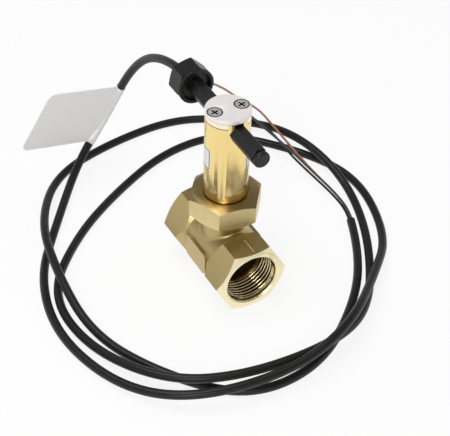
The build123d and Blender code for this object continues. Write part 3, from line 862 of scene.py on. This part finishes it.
def rod_guide(name, count=160):
    """A C in section, by angle round the rod: inside the hexagon and a gap, outside the square.

    Above the rod both sides go straight up. The ends lie on the head: x = sqrt(R^2 - y^2).
    """
    half = rod_half + 0.12 * MM
    open_angle = math.atan2(gap_half, math.sqrt(half**2 - gap_half**2 / 3))
    turn = np.linspace(np.pi / 2 + open_angle, 2.5 * np.pi - open_angle, count)
    across, up = np.cos(turn), np.sin(turn)
    reach_side = slot_half / np.maximum(np.abs(across), 1e-6)
    reach_down = (rod_z - slot_bottom) / np.maximum(-up, 1e-6)
    reach_up = (guide_top - rod_z) / np.maximum(up, 1e-6)
    inner_r = hexagon_radius(turn, half, 5.5 * MM)
    outer_r = np.minimum(reach_side, np.where(up < 0, reach_down, reach_up))
    inner = np.stack([inner_r * across, rod_z + inner_r * up], axis=-1)
    outer = np.stack([outer_r * across, rod_z + outer_r * up], axis=-1)
    first_inner, last_inner = inner[0].copy(), inner[-1].copy()
    first_inner[1] = last_inner[1] = guide_top
    inner = np.concatenate([[first_inner], inner, [last_inner]])
    outer = np.concatenate([[outer[0]], outer, [outer[-1]]])
    section = np.stack([outer, inner])
    reach = np.sqrt(head_radius**2 - section[..., 0] ** 2)
    rows = []
    for side, which in ((-1, 0), (-1, 1), (1, 1), (1, 0)):
        rows.append(np.stack([side * reach[which], section[which, :, 0], section[which, :, 1]], axis=-1))
    piece = grid_mesh(name, np.stack(rows), close_rows=True)
    work = bmesh.new()
    work.from_mesh(piece.data)
    bmesh.ops.remove_doubles(work, verts=work.verts, dist=1e-7)
    bmesh.ops.holes_fill(work, edges=[edge for edge in work.edges if edge.is_boundary], sides=0)
    bmesh.ops.recalc_face_normals(work, faces=work.faces)
    work.to_mesh(piece.data)
    work.free()
    piece.data.set_sharp_from_angle(angle=math.radians(25))
    return piece


guide = rod_guide("rod_guide")
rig.ride(guide, "switch")
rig.slot(guide, "turned_brass")

# %% [markdown]
# ## The gland
# The gland nut is its solid, shorter towards the cable, as it is in the photograph, and
# the bush inside it goes with that.
# %% Gland
gland_front = -37 * MM
solid_rod_back = -50 * MM
rod_back = -47.5 * MM
seal_share = 0.58


def shorter_gland(at):
    """Every length behind the front is taken times 14 / 18."""
    at[:, 0] = gland_front + (at[:, 0] - gland_front) * 14 / 18
    return at


def nearer_seal(at):
    """The bush keeps a share of its length, between the rod's end and the gland's end wall."""
    at[:, 0] = rod_back + (at[:, 0] - solid_rod_back) * seal_share
    return at


gland = merged_copy("gland_nut", "gland_hexagon", 0.3 * MM, reshape=shorter_gland)
seal = merged_copy("gland_seal", "gland_bush", 0.1 * MM, reshape=nearer_seal)
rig.slot(gland, "black_plastic")
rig.slot(seal, "seal_rubber")

# %% [markdown]
# ## The label
# A thin self-adhesive label goes most of the way round the head. It could be a Bevel on a
# bent plane, but a formula keeps it exactly on the cylinder: one parameter runs round, one
# up, and near the corners each row is shortened by the corner's own circle.
# %% Label
label_radius = 13.04 * MM
label_corner = 2.2 * MM


def label_patch(name, start, end, low, high):
    """Angle = middle of start and end + u * half the row's width, height = v.

    Near an edge the half width loses r - sqrt(r^2 - d^2), d being how far the row is
    inside the corner's circle. Each point also keeps its distance from the edge.
    """
    u = np.linspace(-1, 1, 160)
    corner_steps = label_corner * (1 - np.cos(np.linspace(0, np.pi / 2, 8)))
    v = np.concatenate([low + corner_steps, high - corner_steps[::-1]])
    into = np.clip(np.maximum(low + label_corner - v, v - high + label_corner), 0, label_corner)
    loss = label_corner - np.sqrt(label_corner**2 - into**2)
    middle, half = (start + end) / 2, (end - start) / 2
    angle = middle + u[None, :] * (half - loss / label_radius)[:, None]
    height = np.broadcast_to(v[:, None], angle.shape)
    points = np.stack([label_radius * np.cos(angle), label_radius * np.sin(angle), height], axis=-1)
    patch = grid_mesh(name, points)
    edge_u = (1 - np.abs(u))[None, :] * (half - loss / label_radius)[:, None] * label_radius
    edge_v = np.minimum(v - low, high - v)[:, None] * np.ones_like(u)
    edge = patch.data.attributes.new("edge_distance", "FLOAT", "POINT")
    edge.data.foreach_set("value", np.minimum(edge_u, edge_v).ravel())
    return patch


label = label_patch("head_label", math.radians(27), math.radians(285), 63.5 * MM, 78 * MM)
thickness = label.modifiers.new("film", "SOLIDIFY")
thickness.thickness = 0.08 * MM
thickness.offset = 1
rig.ride(label, "switch")
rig.slot(label, "film")

# %% [markdown]
# ## The sleeve of the film flag
# A clear sleeve goes round the cable, and a stiff clear film, which is a solid of the CAD
# model, stands out from it. The sleeve follows the cable's own line.
# %% Flag sleeve
on_first_run = np.arange(len(cable_line)) < 80
at_flag_height = (cable_line[:, 2] > -0.004) & (cable_line[:, 2] < 0.040)
falling = on_first_run & at_flag_height & (cable_line[:, 0] < -0.09)
sleeve_line = cable_line[falling]
flag_sleeve = tube("flag_sleeve", sleeve_line, cable_diameter / 2 + 0.08 * MM)
sleeve_wall = flag_sleeve.modifiers.new("wall", "SOLIDIFY")
sleeve_wall.thickness = 0.25 * MM
sleeve_wall.offset = 1
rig.ride(flag_sleeve, "carrier")
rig.slot(flag_sleeve, "film")
print("sleeve from", sleeve_line[0].round(4), "to", sleeve_line[-1].round(4))

# %% [markdown]
# ## Materials
# Each finish is a small set of nodes on a Principled shader. Patterns read the Object
# coordinates, in metres, so a noise scale of 1000 makes grains of about a millimetre.
# A measure is the length of the coordinates after some of them are set to nothing: with
# x set to nothing it is the distance from the pipe axis, with only z left it is height.
# %% Material helper
def measure(tree, keep):
    """The length of the Object coordinates times keep, as a socket."""
    place = tree.nodes.new("ShaderNodeTexCoord")
    kept = tree.nodes.new("ShaderNodeVectorMath")
    kept.operation = "MULTIPLY"
    kept.inputs[1].default_value = keep
    length = tree.nodes.new("ShaderNodeVectorMath")
    length.operation = "LENGTH"
    tree.links.new(place.outputs["Object"], kept.inputs[0])
    tree.links.new(kept.outputs["Vector"], length.inputs[0])
    return length.outputs["Value"]


def finish(
    name, color, roughness, metallic=0.0, grain=0.0, grain_scale=1500.0, spots=0.0, rings=None, **sockets
):
    """A Principled material whose colour and roughness vary with noise, under a fine grain.

    Where rings keeps some of the coordinates, turned lines follow that measure.
    """
    material = bpy.data.materials.new(name)
    material.use_nodes = True
    tree = material.node_tree
    shader = tree.nodes["Principled BSDF"]
    place = tree.nodes.new("ShaderNodeTexCoord")
    shader.inputs["Metallic"].default_value = metallic
    for socket, value in sockets.items():
        shader.inputs[socket.replace("_", " ")].default_value = value
    broad = tree.nodes.new("ShaderNodeTexNoise")
    broad.inputs["Scale"].default_value = grain_scale / 8
    broad.inputs["Detail"].default_value = 6
    tree.links.new(place.outputs["Object"], broad.inputs["Vector"])
    tint = tree.nodes.new("ShaderNodeMix")
    tint.name = "tint"
    tint.data_type = "RGBA"
    tint.inputs["A"].default_value = (*[c * (1 - spots) for c in color], 1)
    tint.inputs["B"].default_value = (*[min(1, c * (1 + spots)) for c in color], 1)
    tree.links.new(broad.outputs["Fac"], tint.inputs["Factor"])
    tree.links.new(tint.outputs["Result"], shader.inputs["Base Color"])
    rough = tree.nodes.new("ShaderNodeMapRange")
    rough.inputs["To Min"].default_value = max(0.02, roughness - 0.08)
    rough.inputs["To Max"].default_value = min(1.0, roughness + 0.08)
    tree.links.new(broad.outputs["Fac"], rough.inputs["Value"])
    tree.links.new(rough.outputs["Result"], shader.inputs["Roughness"])
    fine = tree.nodes.new("ShaderNodeTexNoise")
    fine.inputs["Scale"].default_value = grain_scale
    fine.inputs["Detail"].default_value = 4
    tree.links.new(place.outputs["Object"], fine.inputs["Vector"])
    bump = tree.nodes.new("ShaderNodeBump")
    bump.inputs["Strength"].default_value = grain
    bump.inputs["Distance"].default_value = 0.0001
    tree.links.new(fine.outputs["Fac"], bump.inputs["Height"])
    tree.links.new(bump.outputs["Normal"], shader.inputs["Normal"])
    if rings:
        lines = tree.nodes.new("ShaderNodeTexNoise")
        lines.noise_dimensions = "1D"
        lines.inputs["Scale"].default_value = 2500
        tree.links.new(measure(tree, rings), lines.inputs["W"])
        turned_bump = tree.nodes.new("ShaderNodeBump")
        turned_bump.inputs["Strength"].default_value = 0.3
        turned_bump.inputs["Distance"].default_value = 0.0001
        tree.links.new(lines.outputs["Fac"], turned_bump.inputs["Height"])
        tree.links.new(bump.outputs["Normal"], turned_bump.inputs["Normal"])
        tree.links.new(turned_bump.outputs["Normal"], shader.inputs["Normal"])
    return material


# %% [markdown]
# ## A second colour over the first
# Some finishes change with a measure, as the painted shade in the thread's grooves does. A
# picture could be painted for that, but a factor that goes from 0 to 1 along the measure
# needs none, and one node mixes the two colours by it.
# %% Second colour helper
def banded(material, factor, color):
    """Mixes a second colour over the material's own, by a factor from 0 to 1."""
    tree = material.node_tree
    over = tree.nodes.new("ShaderNodeMix")
    over.data_type = "RGBA"
    tree.links.new(factor, over.inputs["Factor"])
    tree.links.new(tree.nodes["tint"].outputs["Result"], over.inputs["A"])
    over.inputs["B"].default_value = (*color, 1)
    tree.links.new(over.outputs["Result"], tree.nodes["Principled BSDF"].inputs["Base Color"])
    return material


def ramp(tree, value, low, high):
    """0 at low, 1 at high, straight between."""
    spread = tree.nodes.new("ShaderNodeMapRange")
    spread.inputs["From Min"].default_value = low
    spread.inputs["From Max"].default_value = high
    tree.links.new(value, spread.inputs["Value"])
    return spread.outputs["Result"]


def banded_by_measure(material, keep, low, high, color):
    """Mixes in a second colour as a measure goes from low to high."""
    tree = material.node_tree
    return banded(material, ramp(tree, measure(tree, keep), low, high), color)


# %% [markdown]
# ## The brasses
# Blasted brass is dull and greenish brown, a turned face is bright and pale, and the head
# is polished. Inside the mouth only the crests of the thread are bright: the grooves and the
# mouth's cone take a dark colour as painted shade, which follows the distance from the pipe
# axis. The nut's top and bottom take a darker copy of the brass as painted shade and its
# sides a lighter one as painted light, the saddle is a paler copy of the turned brass as
# painted light, and the bore inside the tee is painted dark, as shade and partly as its oil.
# %% Brass
forged = finish(
    "forged_brass", (0.54, 0.425, 0.195), 0.37, metallic=1.0, grain=0.30, grain_scale=2600, spots=0.10
)
faced = finish(
    "faced_brass", (1.0, 0.88, 0.58), 0.37, metallic=1.0, grain=0.03, grain_scale=3000, spots=0.03,
    rings=(0, 1, 1),
)
# Painted shade: the nut's top and bottom take this darker copy of the forged brass, with turned rings.
shaded_nut_top = finish(
    "nut_turned_top", (0.40, 0.295, 0.13), 0.37, metallic=1.0, grain=0.08, grain_scale=2600, spots=0.08,
    rings=(1, 1, 0),
)
turned = finish("turned_brass", (0.94, 0.72, 0.31), 0.18, metallic=1.0)
# Painted light: the nut's sides take this lighter copy of the forged brass.
painted_light_brass = finish(
    "nut_forged_sides", (0.82, 0.66, 0.34), 0.37, metallic=1.0, grain=0.25, grain_scale=2600, spots=0.10
)
# Painted light: the saddle is a paler copy of the head's turned brass.
saddle_brass = finish("saddle_brass", (0.98, 0.90, 0.70), 0.18, metallic=1.0, spots=0.02)
# Painted shade: the bore inside the tee is painted dark, partly as its oil.
inner_brass = finish("inner_brass", (0.16, 0.10, 0.04), 0.45, metallic=1.0, grain=0.2, spots=0.2)
thread_brass = finish(
    "thread_brass", (1.0, 0.82, 0.50), 0.18, metallic=1.0, grain=0.05, grain_scale=3000, spots=0.08
)
# Painted shade: the thread's grooves and the mouth's cone darken with the distance from the pipe axis.
banded_by_measure(thread_brass, (0, 1, 1), 15.25 * MM, 15.75 * MM, (0.20, 0.13, 0.045))
print("finishes so far", len(bpy.data.materials))

# %% [markdown]
# ## Plated, moulded and clear
# The plate is satin nickel, pale and a little pink. The screws turn dark a little below
# the plate's top, by height, which paints shade into their crosses. The black pieces are
# moulded plastic with a low gloss, and what can't be seen inside is kept simple.
# %% Other finishes
nickel = finish(
    "nickel_plate", (0.93, 0.87, 0.86), 0.37, metallic=0.3, grain=0.04, grain_scale=3000, spots=0.02
)
screw_steel = finish("screw_steel", (0.80, 0.76, 0.75), 0.25, metallic=0.7, grain=0.05, spots=0.05)
# Painted shade: below the plate's top the screws darken, in their crosses and on their heads' sides.
cross_shade = (0.006, 0.005, 0.005)
banded_by_measure(screw_steel, (0, 0, 1), plate_top - 0.12 * MM, plate_top - 0.3 * MM, cross_shade)
moulded_black = finish(
    "moulded_black", (0.008, 0.008, 0.0085), 0.36, grain=0.12, grain_scale=2200, spots=0.25,
    Specular_IOR_Level=0.36,
)
jacket_black = finish(
    "jacket_black", (0.009, 0.008, 0.008), 0.40, grain=0.10, grain_scale=1800, spots=0.2,
    Specular_IOR_Level=0.34,
)
rubber_and_sink_shade = finish("seal_rubber", (0.02, 0.02, 0.02), 0.7, grain=0.3, spots=0.2)
fibre = finish("gasket_fibre", (0.22, 0.24, 0.22), 0.8, grain=0.4, spots=0.2)
glass = finish("reed_glass", (0.75, 0.9, 0.8), 0.06, Transmission_Weight=0.9, IOR=1.5)
resin = finish("resin", (0.02, 0.02, 0.03), 0.3, spots=0.2)
lead = finish("lead_wire", (0.80, 0.78, 0.74), 0.3, metallic=1.0, spots=0.1)
spring_steel = finish("spring_steel", (0.55, 0.56, 0.58), 0.3, metallic=1.0, grain=0.1, spots=0.1)
lever_white = finish("lever_plastic", (0.75, 0.74, 0.68), 0.45, grain=0.1, spots=0.05)
magnet = finish("magnet", (0.30, 0.30, 0.32), 0.35, metallic=1.0, grain=0.1, spots=0.1)
flag_film = finish("flag_film", (1.0, 1.0, 1.0), 0.45, Transmission_Weight=0.2, IOR=1.45)
core_colours = {
    "wire_black": (0.010, 0.010, 0.010),
    "wire_brown": (0.36, 0.17, 0.10),
    "wire_grey": (0.045, 0.045, 0.05),
}
print("finishes so far", len(bpy.data.materials))

# %% [markdown]
# ## The label's border
# The label is white film with one thin dark line just inside its edge. The line follows
# the edge because each point carries its distance from it, as an attribute.
# %% Label finish
def calculated(tree, operation, *inputs):
    """A Math node over sockets and plain numbers, as its result's socket."""
    step = tree.nodes.new("ShaderNodeMath")
    step.operation = operation
    for place, value in zip(step.inputs, inputs):
        if isinstance(value, bpy.types.NodeSocket):
            tree.links.new(value, place)
        else:
            place.default_value = value
    return step.outputs["Value"]


label_film = finish("label_film", (0.86, 0.86, 0.87), 0.35, spots=0.02)
tree = label_film.node_tree
distance = tree.nodes.new("ShaderNodeAttribute")
distance.attribute_name = "edge_distance"
from_line = calculated(tree, "SUBTRACT", distance.outputs["Fac"], 0.75 * MM)
nearness = calculated(tree, "ABSOLUTE", from_line)
banded(label_film, ramp(tree, nearness, 0.36 * MM, 0.26 * MM), (0.01, 0.01, 0.012))
print("label finish has", len(tree.nodes), "nodes")

# %% [markdown]
# ## Who wears what
# A solid of the CAD model keeps its mesh and only gets a finish. The copies of the tee,
# the nut and the plate wear more than one, by the number that each of their faces has.
# %% Dress the pieces
def dress(piece, *materials):
    """Gives a piece those materials, one for each of its slots, and the last one for any more."""
    while len(piece.data.materials) < len(materials):
        piece.data.materials.append(None)
    for number, place in enumerate(piece.material_slots):
        place.material = materials[min(number, len(materials) - 1)]


worn_by = {
    "head_gasket": fibre, "reed_contact": glass, "reed_leads": lead, "potting": resin,
    "bearing_bracket": spring_steel, "bracket_retaining_ring": spring_steel, "pivot_pin": spring_steel,
    "paddle_lever": lever_white, "paddle_vane": spring_steel, "vane_rivets": spring_steel,
    "paddle_magnet": magnet, "return_magnet": magnet, "cable_flag": flag_film,
}
for node, material in worn_by.items():
    dress(nodes[node], material)
for piece, materials in (
    (tee, (forged, faced, inner_brass)),
    (nut, (painted_light_brass, shaded_nut_top)),
    # The countersink walls wear the black rubber as painted shade.
    (plate, (nickel, rubber_and_sink_shade)),
):
    dress(piece, *materials)
for material, pieces in (
    (turned, (head, guide)),
    (saddle_brass, (saddle,)),
    (screw_steel, (screws,)),
    (moulded_black, (rod, cap, gland)),
    (rubber_and_sink_shade, (seal,)),
    (jacket_black, (jacket,)),
    (label_film, (label,)),
    (flag_film, (flag_sleeve,)),
    (thread_brass, sleeves),
    # The flash lines wear the same lighter copy of the forged brass.
    (painted_light_brass, flashes),
):
    for piece in pieces:
        dress(piece, material)
for core_name, core in cores.items():
    dress(core, finish(core_name, core_colours[core_name], 0.38, spots=0.1, Specular_IOR_Level=0.35))
print("dressed", len(worn_by), "solids")

cable_exit = (-0.051, 0, 0.0913)
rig.cord(
    jacket, exit=cable_exit, length=1.99, diameter=cable_diameter, far_end="bare", stiffness="medium",
    lay="loose", path=cable_line, with_pieces=[flag_sleeve, nodes["cable_flag"]],
)
for core_name, length in (("wire_black", 0.155), ("wire_brown", 0.185), ("wire_grey", 0.157)):
    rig.cord(
        cores[core_name], exit=wire_routes[core_name][0], length=length, diameter=core_diameter,
        far_end="bare", stiffness="medium", lay="loose", path=core_lines[core_name],
    )
print("cords", 1 + len(cores))

# %% [markdown]
# ## The floor
# The part stands on a plain floor. Painted white it would still come out grey, so to the
# camera, and in reflections, most of its light is its own, and only a little of it takes
# the part's soft shadow.
# %% Floor
floor_z = cad_box[0][2] - 0.1 * MM
own_light_share = 0.86
span = np.linspace(-3, 3, 2)
gx, gy = np.meshgrid(span, span, indexing="ij")
floor = grid_mesh("floor", np.stack([gx, gy, np.full_like(gx, floor_z)], axis=-1)[:, ::-1])
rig.stage(floor)
floor_white = bpy.data.materials.new("floor_white")
floor_white.use_nodes = True
tree = floor_white.node_tree
paint = tree.nodes["Principled BSDF"]
paint.inputs["Base Color"].default_value = (0.9, 0.9, 0.9, 1)
paint.inputs["Roughness"].default_value = 1.0
paint.inputs["Specular IOR Level"].default_value = 0.0
glow = tree.nodes.new("ShaderNodeEmission")
glow.inputs["Strength"].default_value = 1.0
both = tree.nodes.new("ShaderNodeMixShader")
tree.links.new(paint.outputs["BSDF"], both.inputs[1])
tree.links.new(glow.outputs["Emission"], both.inputs[2])
rays = tree.nodes.new("ShaderNodeLightPath").outputs
seen = calculated(tree, "MAXIMUM", rays["Is Camera Ray"], rays["Is Glossy Ray"])
seen_clear = calculated(tree, "MAXIMUM", seen, rays["Is Transmission Ray"])
tree.links.new(calculated(tree, "MULTIPLY", seen_clear, own_light_share), both.inputs[0])
tree.links.new(both.outputs["Shader"], tree.nodes["Material Output"].inputs["Surface"])
dress(floor, floor_white)

# %% [markdown]
# ## The sky
# A studio is white at eye level and dark under its ceiling, and that is what gives brass
# its depth: sides shine and tops go brown. So in reflections the sky fades upwards. The
# camera sees plain white, and the soft light that falls on the part is even.
# %% World
world = bpy.data.worlds.new("studio")
bpy.context.scene.world = world
world.use_nodes = True
tree = world.node_tree
sky = tree.nodes["Background"]
sky.inputs["Color"].default_value = (1, 1, 1, 1)
rays = tree.nodes.new("ShaderNodeLightPath").outputs
place = tree.nodes.new("ShaderNodeTexCoord")
height = tree.nodes.new("ShaderNodeSeparateXYZ")
tree.links.new(place.outputs["Generated"], height.inputs["Vector"])
fade = tree.nodes.new("ShaderNodeMapRange")
fade.inputs["From Min"].default_value = 0.05
fade.inputs["From Max"].default_value = 0.6
fade.inputs["To Min"].default_value = 0.85
fade.inputs["To Max"].default_value = 0.22
tree.links.new(height.outputs["Z"], fade.inputs["Value"])
soft_or_glossy = tree.nodes.new("ShaderNodeMix")
soft_or_glossy.inputs["A"].default_value = 0.45
tree.links.new(rays["Is Glossy Ray"], soft_or_glossy.inputs["Factor"])
tree.links.new(fade.outputs["Result"], soft_or_glossy.inputs["B"])
plain = calculated(tree, "MAXIMUM", rays["Is Camera Ray"], rays["Is Transmission Ray"])
strength = tree.nodes.new("ShaderNodeMix")
strength.inputs["B"].default_value = 1.0
tree.links.new(plain, strength.inputs["Factor"])
tree.links.new(soft_or_glossy.outputs["Result"], strength.inputs["A"])
tree.links.new(strength.outputs["Result"], sky.inputs["Strength"])
print("sky nodes", len(tree.nodes))

# %% [markdown]
# ## The lamps
# One large soft lamp hangs above, and a smaller one stands at the mouth's side. Square
# area lamps are used because their edges leave the long soft highlights of a light box.
# %% Lamps
def soft_lamp(name, place, aim, size, power):
    """A square area lamp at a place, turned towards a point."""
    data = bpy.data.lights.new(name, "AREA")
    data.shape = "SQUARE"
    data.size = size
    data.energy = power
    lamp = bpy.data.objects.new(name, data)
    bpy.context.scene.collection.objects.link(lamp)
    toward = np.array(aim) - np.array(place)
    z = -toward / np.linalg.norm(toward)
    x = np.cross([0, 1, 0.001], z)
    x /= np.linalg.norm(x)
    turn = np.eye(4)
    turn[:3, 0], turn[:3, 1], turn[:3, 2], turn[:3, 3] = x, np.cross(z, x), z, place
    lamp.matrix_world = Matrix(turn)
    print(name, power, "W")
    return lamp


soft_lamp("lamp_top", (-0.15, -0.25, 1.1), (0, 0, 0), 0.7, 6)
soft_lamp("lamp_front", (0.9, -0.7, 0.65), (0, 0, 0.03), 0.5, 5)

# %% [markdown]
# ## Look and sizes
# The colours are shown as they are, with no film curve. Last, the boxes of the CAD model
# and of the finished part are written down side by side, to see that nothing grew.
# %% Finish
bpy.context.scene.view_settings.view_transform = "Standard"
visual_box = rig.bounds()
sizes = {"cad": [list(corner) for corner in cad_box], "visual": [list(corner) for corner in visual_box]}
with open("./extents.json", "w") as size_file:
    json.dump(sizes, size_file)
print("visual box", [tuple(round(v, 4) for v in corner) for corner in visual_box])
